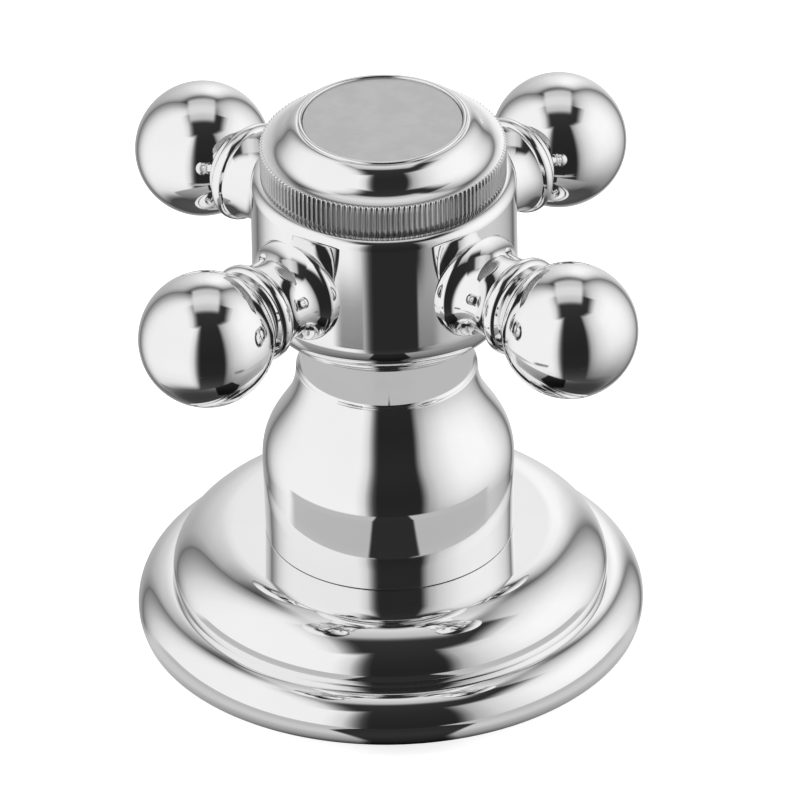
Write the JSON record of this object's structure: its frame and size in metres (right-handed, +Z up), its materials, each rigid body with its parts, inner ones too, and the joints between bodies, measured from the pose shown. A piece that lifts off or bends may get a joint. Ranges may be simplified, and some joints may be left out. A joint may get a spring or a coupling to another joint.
{
  "type": "cross handle tap",
  "caption": "Deck-mounted bath tap unit: chrome cross handle with ball-ended arms on a bell shroud and a double-round escutcheon, over a quarter-turn ceramic-disc headwork.",
  "frame": {"origin": "centre of the gasket's underside, on the spindle axis at deck level", "axes": "+Z up along the spindle axis, the arms lie on the XY diagonals, -Y is the front"},
  "size_m": [0.0598, 0.0598, 0.0689],
  "materials": {
    "satin_index": "fine satin grey, lightly mottled",
    "turned_brass": "machined brass, fine turning marks",
    "ceramic_white": "lapped white alumina",
    "ceramic_grey": "lapped grey ceramic",
    "steel_bright": "bright zinc-plated steel",
    "steel_spring": "stamped spring steel",
    "black_rubber": "moulded black nitrile rubber",
    "grey_rubber": "soft grey sealing foam rubber",
    "slide_plastic": "natural white slippery plastic",
    "fibre_washer": "red-brown vulcanised fibre",
    "escutcheon_chrome": "mirror-bright chrome plating on the pressed brass escutcheon",
    "bell_chrome": "mirror-bright chrome plating on the turned brass shroud",
    "hub_chrome": "mirror-bright chrome plating on the cast handle hub",
    "cap_chrome": "mirror-bright chrome plating with a finely reeded band",
    "arm_chrome": "mirror-bright chrome plating on the turned arms",
    "ball_chrome": "mirror-bright chrome plating on the turned balls"
  },
  "bodies": {
    "valve": {"deck_gasket": "grey_rubber", "escutcheon": "escutcheon_chrome", "shroud_foot_ring": "black_rubber", "bell_shroud": "bell_chrome", "shroud_ring_nut": "turned_brass", "headwork_housing": "turned_brass", "headwork_seat_ring": "fibre_washer", "fixed_ceramic_disc": "ceramic_white", "seat_seal": "black_rubber"},
    "handle": {"moving_ceramic_disc": "ceramic_grey", "spindle": "turned_brass", "spindle_slide_washer": "slide_plastic", "spindle_o_ring_lower": "black_rubber", "spindle_o_ring_upper": "black_rubber", "spindle_circlip": "steel_spring", "spline_bush": "turned_brass", "screw_washer": "steel_bright", "handle_screw": "steel_bright", "handle_hub": "hub_chrome", "top_cap": "cap_chrome", "cap_o_ring": "black_rubber", "index_disc": "satin_index", "arm_front_left": "arm_chrome", "ball_front_left": "ball_chrome", "arm_front_right": "arm_chrome", "ball_front_right": "ball_chrome", "arm_back_right": "arm_chrome", "ball_back_right": "ball_chrome", "arm_back_left": "arm_chrome", "ball_back_left": "ball_chrome"}
  },
  "joints": [
    {"name": "handle_turn", "type": "hinge", "parent": "valve", "child": "handle", "pos_m": [0, 0, 0], "axis": [0, 0, 1], "range_deg": [0, 90]}
  ]
}
